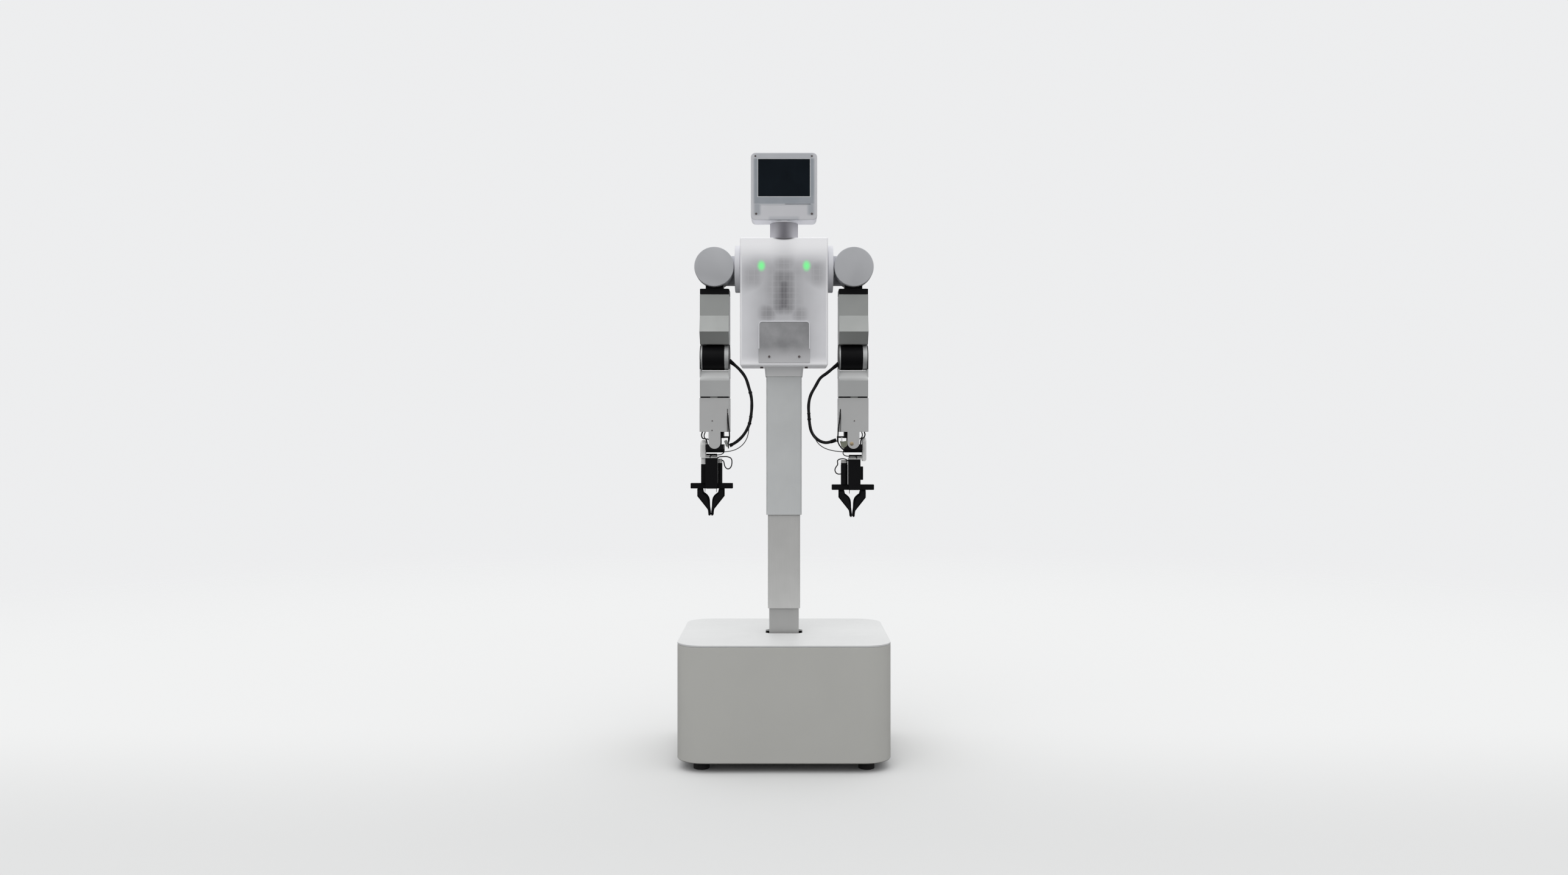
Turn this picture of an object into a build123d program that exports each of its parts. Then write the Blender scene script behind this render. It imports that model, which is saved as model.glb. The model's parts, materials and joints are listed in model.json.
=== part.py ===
from build123d import *
import os
from math import radians, tan

os.makedirs("parts", exist_ok=True)

# Two-armed service robot on a telescoping column. Millimetres, +Z up, origin on the floor
# under the middle of the base. The robot faces -Y, so its left arm is on the +X side.

# Base box
BASE_WIDTH = 462
BASE_DEPTH = 400
BASE_CORNER = 60
BASE_WALL = 4
FOOT_HEIGHT = 20
FOOT_RADIUS = 17.5
FOOT_X = 178
FOOT_Y = 153
PLATE_THICK = 6
SHELL_TOP = 267
LID_BOTTOM = 268
LID_TOP = 272
LID_OPENING = (83, 63)
DRIVE_TOP = 115

# Telescoping column: width, depth, corner radius and wall of each tube, lowest tube first
INNER_TUBE = (67, 40, 4.5, 2.0)
MIDDLE_TUBE = (73, 46.5, 5.0, 2.0)
OUTER_TUBE = (80, 53, 5.0, 2.3)
INNER_Z = (DRIVE_TOP, 450)
MIDDLE_Z = (327, 662)
OUTER_Z = (539, 877.5)
GLIDE_LENGTH = 30
GLIDE_GAP = 0.4
SCREW_RADIUS = 8
SPINDLE_RADIUS = 15
SPINDLE_BORE = 9
COLLAR_Z = (852, 874.5)

# Torso
TORSO_HALF = 98.5
TORSO_DEPTH = 120
TORSO_Z = (874.5, 1161)
TORSO_WALL = 3
TORSO_CORNER = 6
MAST = (48, 60)
HATCH_X = (-57, 58)
HATCH_Z = (881, 974.3)
HATCH_THICK = 1.4
LED_X = 50
LED_Z = 1101.5
LED_RADIUS = 7
LED_DEPTH = 4

# Neck and head
NECK_RADIUS = 32
NECK_Z = (1156, 1200.5)
HEAD_WIDTH = 149.5
HEAD_DEPTH = 70
HEAD_Z = (1205, 1356.5)
HEAD_CORNER = 10
HEAD_WALL = 3
BEZEL_THICK = 6
SCREEN_X = 58.5
SCREEN_Z = (1257.8, 1342.2)
WINDOW_X = 53.7
WINDOW_Z = (1209, 1238.2)
SLOT_X = (2, 60)
SLOT_Z = (1239.2, 1241.2)

# Shoulder
ARM_X = 157
SHOULDER_Z = 1098
FLANGE_RADIUS = 53.5
FLANGE_X = (99, 111)
PITCH_MOTOR_RADIUS = 42
PITCH_MOTOR_X = (30, 88)
ROLL_MOTOR_RADIUS = 40
ROLL_MOTOR_Y = (14, 52)
DRUM_RADIUS = 44.5
DRUM_BODY_RADIUS = 42.5
DRUM_Y = (-48, -18, 12)
HANGER_Z = (1038, 1050)

# Upper arm and elbow. x below is measured outwards from the arm's own centre plane.
ARM_HALF = 33
UPPER_ARM_TOP = 1037
ELBOW_Z = 896
ELBOW_RADIUS = 28.5
STATOR_X = (-28.0, 21.7)
HUB_X = ((-31.8, -28.3), (22.0, 31.8))
CHEEK_OUT = 33.8

# Forearm and wrist
FOREARM_BOTTOM = 806.5
WRIST_TOP = 803.5
WRIST_BOTTOM = 727
WRIST_HALF = (34, 30)
WRIST_WALL = 3.5
ROLL_HUB_RADIUS = 8.5
TONGUE_HALF = 13.5
TILT_Z = 702
KNUCKLE_HALF = 20.5

# Hand
RAIL_Z = (598.5, 611)
RAIL_HALF = 48.2
RAIL_Y = (-6, 7)
GRIPPER_HALF = 13.8
GRIPPER_TOP = 668
FINGER_DEPTH = 14
PART_GAP = 0.4

# The two hands are not mirror copies. Sideways shifts are outwards, and the drop is downwards.
RAIL_SHIFT = {"right": 7.7, "left": 0}
GEARBOX_SHIFT = {"right": 7.7, "left": 3}
FINGER_SHIFT = {"right": 9.7, "left": -1.6}
HAND_DROP = {"right": 0.8, "left": 4}
SIDE_BLOCK_X = {"right": 24, "left": 20}
SIDE_BLOCK_Z = {"right": (611, 654.3), "left": (621.5, 652)}
MOTOR_X = {"right": -19.2, "left": -22.6}
MOTOR_RADIUS = {"right": 5, "left": 7.9}
BRACKET_X = {"right": (21, 33.5), "left": (21, 30.5)}
BRACKET_Z = {"right": (667.2, 708), "left": (660.5, 715)}

# Servo socket that the harness plugs into
SOCKET_X = {"right": (-31.5, -29.3), "left": (-36.5, -34)}
SOCKET_Z = {"right": (689, 713), "left": (703.5, 713)}

# Cables: x outwards from the robot's centre plane, y, z. The two arms' cables lie differently.
HARNESS_DIAMETER = 7
HARNESS_ROUTES = {
    "right": [
        (124.5, 0, 889),
        (113.5, -2, 880.5),
        (99, -6, 867),
        (86.5, -10, 850),
        (80, -13, 828.5),
        (73.5, -15, 805.5),
        (72.8, -15, 783),
        (75.2, -14.5, 760),
        (79.5, -13.5, 740),
        (91, -11, 720),
        (104.5, -8.5, 706.5),
        (116, -6.5, 699),
        (123.6, -5.7, 695.4),
    ],
    "left": [
        (124.5, 0, 882),
        (113, -2, 873.5),
        (98, -6, 860.5),
        (82, -10, 850),
        (72.5, -13, 832),
        (59.5, -15, 810),
        (55.3, -16, 788),
        (56.4, -16, 765),
        (58.2, -15, 743),
        (62, -14, 726.5),
        (71.5, -12.5, 712.5),
        (85, -10.5, 703.5),
        (101.5, -8, 701.5),
        (118.7, -5.7, 708.5),
    ],
}
WIRE_DIAMETER = 2
WIRE_ROUTES = {
    "right": [
        (79.5, -18.6, 742),
        (79.8, -19, 728),
        (83.5, -18, 712.5),
        (92, -15.5, 698.5),
        (105, -12.5, 688.5),
        (120, -10, 682.8),
        (136.1, -9, 681.2),
    ],
    "left": [
        (60.5, -19.8, 741),
        (63.5, -20.5, 729),
        (69, -20, 715),
        (76, -18, 701.5),
        (88, -15, 691.5),
        (103, -12.5, 685.6),
        (119, -10.5, 682.6),
        (136.1, -9, 681.2),
    ],
}


def block(x, y, z):
    """A box between two limits along each axis."""
    size = [high - low for low, high in (x, y, z)]
    middle = [(low + high) / 2 for low, high in (x, y, z)]
    return Pos(*middle) * Box(*size)


def prism(width, depth, corner, z):
    """An upright rounded rectangle about the Z axis."""
    outline = RectangleRounded(width, depth, corner)
    return extrude(Plane.XY.offset(z[0]) * outline, amount=z[1] - z[0])


def tube(size, z):
    """An upright rectangular tube, size being width, depth, corner radius and wall."""
    width, depth, corner, wall = size
    outside = prism(width, depth, corner, z)
    return outside - prism(width - 2 * wall, depth - 2 * wall, corner - wall, z)


def rod_x(radius, x, y, z):
    """A round bar along X."""
    return Pos((x[0] + x[1]) / 2, y, z) * Rot(0, 90, 0) * Cylinder(radius, x[1] - x[0])


def rod_y(radius, x, y, z):
    """A round bar along Y."""
    return Pos(x, (y[0] + y[1]) / 2, z) * Rot(90, 0, 0) * Cylinder(radius, y[1] - y[0])


def rod_z(radius, x, y, z):
    """A round bar along Z."""
    return Pos(x, y, (z[0] + z[1]) / 2) * Cylinder(radius, z[1] - z[0])


def side_prism(outline, x):
    """A solid of constant YZ outline between two x limits."""
    plane = Plane(origin=(x[0], 0, 0), x_dir=(0, 1, 0), z_dir=(1, 0, 0))
    return extrude(plane * Polygon(*outline, align=None), amount=x[1] - x[0], dir=(1, 0, 0))


def rounded_front(width, corner, z, y):
    """A rounded rectangle seen from the front, between two y limits."""
    plane = Plane(origin=(0, y[1], (z[0] + z[1]) / 2), x_dir=(1, 0, 0), z_dir=(0, -1, 0))
    return extrude(plane * RectangleRounded(width, z[1] - z[0], corner), amount=y[1] - y[0])


def save(name, *solids):
    """Writes one node, as a group where it holds more than one solid."""
    shape = solids[0] if len(solids) == 1 else Compound(children=list(solids))
    export_step(shape, f"parts/{name}.step")


# Base


def base_shell():
    """Side walls with an inner flange that sits on the base plate."""
    z = (FOOT_HEIGHT, SHELL_TOP)
    outside = prism(BASE_WIDTH, BASE_DEPTH, BASE_CORNER, z)
    outside = fillet(outside.edges().group_by(Axis.Z)[0], 3)
    hollow = (BASE_WIDTH - 2 * BASE_WALL, BASE_DEPTH - 2 * BASE_WALL, BASE_CORNER - BASE_WALL)
    flange_z = (FOOT_HEIGHT + PLATE_THICK, FOOT_HEIGHT + PLATE_THICK + 3)
    walls = outside - prism(*hollow, z)
    flange = prism(*hollow, flange_z) - prism(hollow[0] - 40, hollow[1] - 40, 36, flange_z)
    return walls + flange


def base_plate():
    """Chassis plate that carries the drive, the power pack and the feet."""
    gap = BASE_WALL + 0.2
    z = (FOOT_HEIGHT, FOOT_HEIGHT + PLATE_THICK)
    return prism(BASE_WIDTH - 2 * gap, BASE_DEPTH - 2 * gap, BASE_CORNER - gap, z)


def base_feet():
    feet = []
    for x in (-FOOT_X, FOOT_X):
        for y in (-FOOT_Y, FOOT_Y):
            foot = rod_z(FOOT_RADIUS, x, y, (0, FOOT_HEIGHT))
            feet.append(fillet(foot.edges().group_by(Axis.Z)[0], 2))
    return feet


def base_lid():
    """Top plate. A seat lifts it off the walls by 1 mm and a rim centres it."""
    plate = prism(BASE_WIDTH, BASE_DEPTH, BASE_CORNER, (LID_BOTTOM, LID_TOP))
    plate = chamfer(plate.edges().group_by(Axis.Z)[-1], 0.6)
    seat = prism(BASE_WIDTH - 3, BASE_DEPTH - 3, BASE_CORNER - 1.5, (SHELL_TOP, LID_BOTTOM))
    rim = prism(BASE_WIDTH - 9, BASE_DEPTH - 9, BASE_CORNER - 4.5, (SHELL_TOP - 7, SHELL_TOP))
    inside = prism(BASE_WIDTH - 17, BASE_DEPTH - 17, BASE_CORNER - 8.5, (SHELL_TOP - 7, LID_BOTTOM))
    opening = block(
        (-LID_OPENING[0] / 2, LID_OPENING[0] / 2),
        (-LID_OPENING[1] / 2, LID_OPENING[1] / 2),
        (LID_BOTTOM - 1, LID_TOP + 1),
    )
    opening = chamfer(opening.edges().filter_by(Axis.Z), 9)
    return plate + (seat + rim - inside) - opening


def power_pack():
    pack = block((-205, -75), (-130, 130), (FOOT_HEIGHT + PLATE_THICK, 165))
    return fillet(pack.edges().filter_by(Axis.Z), 8)


def lift_drive():
    """Gearbox and motor of the column, under the lowest tube."""
    housing = block((-50, 50), (-38, 38), (FOOT_HEIGHT + PLATE_THICK, DRIVE_TOP))
    housing = chamfer(housing.edges().filter_by(Axis.Z), 6)
    motor = rod_y(26, 0, (38, 120), 66)
    return housing + motor


def column_inner():
    foot = prism(90, 64, 4, (DRIVE_TOP, DRIVE_TOP + 5))
    width, depth, corner, wall = INNER_TUBE
    foot -= prism(width - 2 * wall, depth - 2 * wall, corner - wall, (DRIVE_TOP, DRIVE_TOP + 5))
    return tube(INNER_TUBE, INNER_Z) + foot


def lift_screw():
    return rod_z(SCREW_RADIUS, 0, 0, (DRIVE_TOP, 330))


# Middle stage


def glide_pads():
    """One slide ring inside the bottom of the middle tube, one outside its top."""
    rings = []
    width, depth, corner, wall = MIDDLE_TUBE
    low = (MIDDLE_Z[0], MIDDLE_Z[0] + GLIDE_LENGTH)
    seat = prism(width - 2 * wall, depth - 2 * wall, corner - wall, low)
    grown = 2 * GLIDE_GAP
    rings.append(seat - prism(INNER_TUBE[0] + grown, INNER_TUBE[1] + grown, INNER_TUBE[2], low))
    high = (MIDDLE_Z[1] - GLIDE_LENGTH, MIDDLE_Z[1])
    outer_hollow = [side - 2 * OUTER_TUBE[3] - grown for side in OUTER_TUBE[:2]]
    rings.append(prism(*outer_hollow, corner, high) - prism(width, depth, corner, high))
    return rings


def spindle_tube():
    """Nut tube that hangs from a plug in the top of the middle tube."""
    width, depth, corner, wall = MIDDLE_TUBE
    plug = prism(width - 2 * wall, depth - 2 * wall, corner - wall, (650, 658))
    body = rod_z(SPINDLE_RADIUS, 0, 0, (250, 650))
    return body + plug - rod_z(SPINDLE_BORE, 0, 0, (250, 658))


# Torso


def lift_rod():
    return rod_z(SCREW_RADIUS, 0, 0, (600, OUTER_Z[1]))


def column_collar():
    """Tapered trim collar with chamfered corners, round the top of the outer tube."""
    bottom = Plane.XY.offset(COLLAR_Z[0]) * Rectangle(84, 57)
    top = Plane.XY.offset(COLLAR_Z[1]) * Rectangle(88, 61)
    collar = loft([bottom.face(), top.face()])
    upright = [e for e in collar.edges() if abs(e.center().Z - sum(COLLAR_Z) / 2) < 1]
    collar = chamfer(upright, 5)
    return collar - prism(*OUTER_TUBE[:3], COLLAR_Z)


def torso_frame():
    """Floor and roof plates joined by a square mast that carries the two pitch motors."""
    half_depth = TORSO_DEPTH / 2 - TORSO_WALL
    inner = TORSO_HALF - TORSO_WALL
    floor_z = (TORSO_Z[0] + TORSO_WALL, TORSO_Z[0] + TORSO_WALL + 6)
    roof_z = (TORSO_Z[1] - TORSO_WALL - 8, NECK_Z[0])
    floor = prism(2 * inner - 2, 2 * half_depth - 2, 4, floor_z)
    roof = prism(2 * inner - 2, 2 * half_depth - 2, 4, roof_z)
    mast = prism(*MAST, 4, (floor_z[1], roof_z[0]))
    mast -= prism(MAST[0] - 6, MAST[1] - 6, 1, (floor_z[1], roof_z[0]))
    frame = floor + roof + mast
    for side in (-1, 1):
        limits = sorted((side * MAST[0] / 2, side * PITCH_MOTOR_X[0]))
        frame += block(limits, (-42, 42), (SHOULDER_Z - 42, SHOULDER_Z + 42))
    return frame


def torso_solid():
    """Outside of the torso, all round."""
    body = prism(2 * TORSO_HALF, TORSO_DEPTH, TORSO_CORNER, TORSO_Z)
    return fillet(body.edges().group_by(Axis.Z)[0], 4)


def torso_case():
    """Both halves of the casing, with its holes for the column, neck and shoulders."""
    wall = TORSO_WALL
    hollow_z = (TORSO_Z[0] + wall, TORSO_Z[1] - wall)
    hollow = prism(2 * (TORSO_HALF - wall), TORSO_DEPTH - 2 * wall, TORSO_CORNER - wall, hollow_z)
    case = torso_solid() - hollow
    case -= prism(*OUTER_TUBE[:3], (TORSO_Z[0], hollow_z[0]))
    case -= rod_z(NECK_RADIUS, 0, 0, (hollow_z[1], TORSO_Z[1]))
    return case - rod_x(23, (-TORSO_HALF - 1, TORSO_HALF + 1), 0, SHOULDER_Z)


def torso_front_shell(case):
    return case & block((-110, 110), (-TORSO_DEPTH / 2 - 1, 0), (TORSO_Z[0] - 1, TORSO_Z[1] + 1))


def torso_back_shell(case):
    """Rear half, with two columns of vent slots."""
    back = case & block((-110, 110), (0, TORSO_DEPTH / 2 + 1), (TORSO_Z[0] - 1, TORSO_Z[1] + 1))
    depth = (TORSO_DEPTH / 2 - TORSO_WALL - 1, TORSO_DEPTH / 2 + 1)
    for x in (-42, 42):
        for row in range(9):
            z = 915 + 12 * row
            back -= block((x - 27, x + 27), depth, (z, z + 4))
    return back


def chest_hatch():
    """Service cover on the front of the torso, with rounded top corners."""
    face = -TORSO_DEPTH / 2
    cover = block(HATCH_X, (face - HATCH_THICK, face), HATCH_Z)
    along_y = cover.edges().filter_by(Axis.Y)
    cover = fillet(along_y.group_by(Axis.Z)[-1], 8)
    cover = fillet(cover.edges().filter_by(Axis.Y).group_by(Axis.Z)[0], 2)
    return cover


def status_leds():
    """Lamp pucks on the inside of the front shell, which shine through it."""
    inside = -TORSO_DEPTH / 2 + TORSO_WALL
    return [rod_y(LED_RADIUS, x, (inside, inside + LED_DEPTH), LED_Z) for x in (-LED_X, LED_X)]


def torso_screws():
    """Hatch screws, the two bolts beside the collar and the rear casing screws."""
    front = -TORSO_DEPTH / 2 - HATCH_THICK
    back = TORSO_DEPTH / 2
    screws = [rod_y(2.6, x, (front - 1.2, front), 894.8) for x in (-33, 34)]
    screws += [rod_z(3.5, x, -20, (TORSO_Z[0] - 4, TORSO_Z[0])) for x in (-50.5, 50.5)]
    for x in (-84, 84):
        for z in (886, 1144):
            screws.append(rod_y(2.6, x, (back, back + 1.2), z))
    return screws


def control_boards():
    """A driver board with its capacitor block, each side of the mast."""
    boards = []
    for side in (-1, 1):
        x = sorted((side * MAST[0] / 2, side * 86))
        board = block(x, (-26, -24), (884, 1030))
        x = sorted((side * 40, side * 78))
        board += block(x, (-34, -26), (940, 1012))
        boards.append(board)
    return boards


def pitch_motors():
    return [
        rod_x(PITCH_MOTOR_RADIUS, sorted((side * PITCH_MOTOR_X[0], side * PITCH_MOTOR_X[1])), 0, SHOULDER_Z)
        for side in (-1, 1)
    ]


def neck_post():
    post = rod_z(NECK_RADIUS, 0, 0, NECK_Z)
    return post - rod_z(NECK_RADIUS - 6, 0, 0, (NECK_Z[0], NECK_Z[1] - 5))


# Head


def head_shell():
    """Rear casing of the head with its turning ring underneath."""
    y = (-HEAD_DEPTH / 2 + BEZEL_THICK, HEAD_DEPTH / 2)
    case = rounded_front(HEAD_WIDTH, HEAD_CORNER, HEAD_Z, y)
    case = fillet(case.edges().group_by(Axis.Y)[-1], 5)
    inside_z = (HEAD_Z[0] + HEAD_WALL, HEAD_Z[1] - HEAD_WALL)
    corner = HEAD_CORNER - HEAD_WALL
    hollow = rounded_front(HEAD_WIDTH - 2 * HEAD_WALL, corner, inside_z, (y[0], y[1] - HEAD_WALL))
    ring = rod_z(NECK_RADIUS, 0, 0, (NECK_Z[1] + 0.5, HEAD_Z[0]))
    return case - hollow + ring


def head_bezel():
    """Front frame round the display, with a recess for the lower window and a slot."""
    front = -HEAD_DEPTH / 2
    y = (front, front + BEZEL_THICK)
    bezel = rounded_front(HEAD_WIDTH, HEAD_CORNER, HEAD_Z, y)
    bezel = fillet(bezel.edges().group_by(Axis.Y)[0], 1.5)
    bezel -= block((-SCREEN_X, SCREEN_X), y, SCREEN_Z)
    bezel -= block((-WINDOW_X, WINDOW_X), (front, front + 0.3), WINDOW_Z)
    return bezel - block(SLOT_X, (front, front + 2), SLOT_Z)


def display_panel():
    front = -HEAD_DEPTH / 2
    return block((-SCREEN_X, SCREEN_X), (front + 0.8, front + BEZEL_THICK), SCREEN_Z)


# One arm, built about its own centre plane: x outwards, y and z as on the robot


def shoulder_flange():
    """Turning flange with a hub into the torso and a saddle that clamps the roll motor."""
    x = (FLANGE_X[0] - ARM_X, FLANGE_X[1] - ARM_X)
    flange = rod_x(FLANGE_RADIUS, x, 0, SHOULDER_Z)
    flange = chamfer(flange.edges(), 1)
    hub = rod_x(20, (PITCH_MOTOR_X[1] + 0.5 - ARM_X, x[0]), 0, SHOULDER_Z)
    saddle = block((x[1], -24), (18, 46), (SHOULDER_Z - 33, SHOULDER_Z + 33))
    motor = rod_y(ROLL_MOTOR_RADIUS, 0, ROLL_MOTOR_Y, SHOULDER_Z)
    return flange + hub + saddle - motor


def roll_motor():
    stator = rod_y(ROLL_MOTOR_RADIUS, 0, ROLL_MOTOR_Y, SHOULDER_Z)
    stator = chamfer(stator.edges(), 2)
    stator += rod_y(30, 0, (ROLL_MOTOR_Y[1], ROLL_MOTOR_Y[1] + 5), SHOULDER_Z)
    return stator - rod_y(19, 0, (ROLL_MOTOR_Y[0], ROLL_MOTOR_Y[0] + 6), SHOULDER_Z)


def roll_drum():
    """Rotor of the roll joint: front cap, body and output hub."""
    cap = rod_y(DRUM_RADIUS, 0, DRUM_Y[:2], SHOULDER_Z)
    cap = fillet(cap.edges().group_by(Axis.Y)[0], 1.5)
    body = rod_y(DRUM_BODY_RADIUS, 0, DRUM_Y[1:], SHOULDER_Z)
    hub = rod_y(18, 0, (DRUM_Y[2], ROLL_MOTOR_Y[0] + 5), SHOULDER_Z)
    return cap + body + hub


def arm_hanger():
    """Black bracket under the drum that carries the upper arm's yaw bearing."""
    neck = block((-20, 20), (-30, 10), (HANGER_Z[1], SHOULDER_Z - 35))
    neck -= rod_y(DRUM_RADIUS, 0, DRUM_Y[:2], SHOULDER_Z)
    neck -= rod_y(DRUM_BODY_RADIUS, 0, DRUM_Y[1:], SHOULDER_Z)
    plate = block((-ARM_HALF, ARM_HALF), (-33, 33), HANGER_Z)
    return neck + chamfer(plate.edges().filter_by(Axis.Z), 3)


def upper_arm_shell():
    """Folded casing whose rear cradle clamps the elbow motor."""
    outline = [(-33, 1037), (-33, 989), (-47, 952), (-26, 925), (33, 925), (33, 1037)]
    shell = side_prism(outline, (-ARM_HALF, ARM_HALF))
    shell -= block((-29.5, 29.5), (-29.5, 29.5), (960, UPPER_ARM_TOP))
    cradle = block((-20, 20), (4, 33), (872, 925))
    cradle -= rod_x(ELBOW_RADIUS, (-20, 20), 0, ELBOW_Z)
    return shell + cradle


def elbow_motor():
    stator = rod_x(ELBOW_RADIUS, STATOR_X, 0, ELBOW_Z)
    return chamfer(stator.edges(), 0.8)


def forearm_bracket():
    """Fork with a hub each side of the elbow motor, over a short faceted body."""
    outline = [(25, 862), (-12, 866), (-33, 843), (-33, 806.5), (33, 806.5), (33, 850)]
    bracket = side_prism(outline, (-ARM_HALF, ARM_HALF))
    for side, hub_x in zip((-1, 1), HUB_X):
        cheek_x = sorted((side * 31.8, side * CHEEK_OUT))
        cheek = rod_x(ELBOW_RADIUS, cheek_x, 0, ELBOW_Z)
        web = [(-28, 896), (28, 896), (28, 850), (-26, 850)]
        bracket += cheek + side_prism(web, cheek_x)
        bracket += rod_x(ELBOW_RADIUS, hub_x, 0, ELBOW_Z)
    return bracket - rod_z(ROLL_HUB_RADIUS + PART_GAP, 0, 0, (FOREARM_BOTTOM, FOREARM_BOTTOM + 10))


def wrist_housing():
    """Open-bottomed casing with a tongue front and back and a cable slot on its inner side."""
    half_x, half_y = WRIST_HALF
    z = (WRIST_BOTTOM, WRIST_TOP)
    housing = prism(2 * half_x, 2 * half_y, 3, z)
    wall = WRIST_WALL
    housing -= prism(2 * (half_x - wall), 2 * (half_y - wall), 1, (z[0], z[1] - 12))
    housing += rod_z(ROLL_HUB_RADIUS, 0, 0, (WRIST_TOP, FOREARM_BOTTOM + 8))
    housing -= block((-31, -28.4), (-half_y - 1, -half_y + wall), (z[0], 778.5))
    for y in ((-half_y, -half_y + wall), (half_y - wall, half_y)):
        tongue = block((-TONGUE_HALF, TONGUE_HALF), y, (TILT_Z, WRIST_BOTTOM + 1))
        housing += tongue + rod_y(TONGUE_HALF, 0, y, TILT_Z)
    return housing


def wrist_servo(side):
    """Tilt servo inside the housing, with a thin plate on its inner side for the harness socket."""
    body = block((-20, 12), (-21.5, 21.5), (712.5, 791.5))
    arm = block((SOCKET_X[side][0], -20), (-10, 0), (SOCKET_Z[side][1], 717))
    return body + arm + block(SOCKET_X[side], (-11, 0), SOCKET_Z[side])


def wrist_knuckle():
    """Cross block between the tilt axis and the pitch axis."""
    body = block((-KNUCKLE_HALF, KNUCKLE_HALF), (-26.2, 26.2), (680, 698.5))
    bottom = body.edges().filter_by(Axis.X).group_by(Axis.Z)[0]
    body = chamfer(bottom, 6)
    body += block((-KNUCKLE_HALF, KNUCKLE_HALF), (-30.5, -26.2), (686, 698.5))
    body -= rod_y(15, 0, (-31, -26.2), TILT_Z)
    for y in ((-26.2, -22), (22, 26.2)):
        body += rod_y(13, 0, y, TILT_Z)
        body += block((-13, 13), y, (690, TILT_Z))
    return body


def hand_bracket(side):
    """Silver L bracket: a rounded arm on the pitch axis and a foot plate on the gearbox."""
    arm = block(BRACKET_X[side], (-13, 13), BRACKET_Z[side])
    arm = fillet(arm.edges().filter_by(Axis.X).group_by(Axis.Z)[-1], 12)
    arm = fillet(arm.edges().filter_by(Axis.Y).group_by(Axis.X)[-1], 5)
    foot_z = GRIPPER_TOP - HAND_DROP[side]
    foot = block((GEARBOX_SHIFT[side] - GRIPPER_HALF, 21), (-12, 12), (foot_z, foot_z + 3.5))
    if side == "right":
        tab = block((21.8, 31.5), (-9, 9), (SIDE_BLOCK_Z[side][1], BRACKET_Z[side][0]))
        return arm + foot + tab
    return arm + foot


def gripper_body(side):
    """Gearbox, side housing and finger rail in one casting."""
    gearbox = block((-GRIPPER_HALF, GRIPPER_HALF), (-18, 6), (600, GRIPPER_TOP))
    gearbox = fillet(gearbox.edges().filter_by(Axis.Z).group_by(Axis.Y)[0], 2)
    housing = block((GRIPPER_HALF, SIDE_BLOCK_X[side]), (-11, 6), SIDE_BLOCK_Z[side])
    rail = block((-RAIL_HALF, RAIL_HALF), RAIL_Y, RAIL_Z)
    rail = fillet(rail.edges().filter_by(Axis.Y), 1.5)
    return Pos(GEARBOX_SHIFT[side], 0, 0) * (gearbox + housing) + Pos(RAIL_SHIFT[side], 0, 0) * rail


def gripper_motor(side):
    """Finger motor with a flat end cap, standing on the rail."""
    can = rod_z(MOTOR_RADIUS[side], MOTOR_X[side], -2, (RAIL_Z[1], 656))
    cap = rod_z(MOTOR_RADIUS[side] - 0.3, MOTOR_X[side], -2, (656, 666.5))
    return Pos(GEARBOX_SHIFT[side], 0, 0) * (can + cap)


def finger(side, mirrored):
    """A bent blade with a shoe that runs behind the rail. The inner finger is a mirror copy."""
    top = RAIL_Z[0] - PART_GAP
    with BuildLine() as line:
        Polyline((16.4, 590), (18.3, top), (30.8, top), (30.8, 581), (8.2, 552.5))
        Spline((8.2, 552.5), (6.4, 547.5), (5.7, 539.5), tangents=[(-0.62, -0.78), (0, -1)])
        Polyline((5.7, 539.5), (4.6, 537), (1.5, 537), (0.5, 539.5))
        Spline((0.5, 539.5), (2.5, 560), (5.6, 580), (16.4, 590), tangents=[(0, 1), (0.9, 0.5)])
    outline = make_face(line.line)
    back = RAIL_Y[0] - 1 + FINGER_DEPTH + 5.5
    plane = Plane(origin=(0, back, 0), x_dir=(1, 0, 0), z_dir=(0, -1, 0))
    blade = extrude(plane * outline, amount=FINGER_DEPTH + 5.5, dir=(0, -1, 0))
    shoe = block((18.3, 30.8), (RAIL_Y[1] + PART_GAP, back), (top, 609))
    made = blade + shoe
    if mirrored:
        made = mirror(made, about=Plane.YZ)
    return Pos(FINGER_SHIFT[side], 0, 0) * made


# Cables


def turn_radii(route):
    """The arc at each corner: as large as 0.45 of the shorter run beside it allows."""
    points = [Vector(*point) for point in route]
    radii = []
    for before, corner, after in zip(points, points[1:], points[2:]):
        arriving = corner - before
        leaving = after - corner
        half_turn = radians(arriving.get_angle(leaving)) / 2
        radii.append(0.45 * min(arriving.length, leaving.length) / tan(half_turn))
    return radii


def cable(name, route, diameter):
    """A tube along straight runs joined by tangent arcs."""
    radii = turn_radii(route)
    path = FilletPolyline(*route, radius=radii)
    section = Plane(origin=path @ 0, z_dir=path % 0) * Circle(diameter / 2)
    solid = sweep(section, path=path.wire())
    expected = section.area * path.length
    print(f"{name}: length {path.length:.1f} mm, volume {solid.volume / expected:.4f} of section x length")
    print("  radii", " ".join(f"{radius:.0f}" for radius in radii))
    return solid


def on_side(shape, side):
    """Places a solid made about the arm's centre plane on the robot's left or right."""
    placed = Pos(ARM_X, 0, 0) * shape
    return placed if side == "left" else mirror(placed, about=Plane.YZ)


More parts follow.
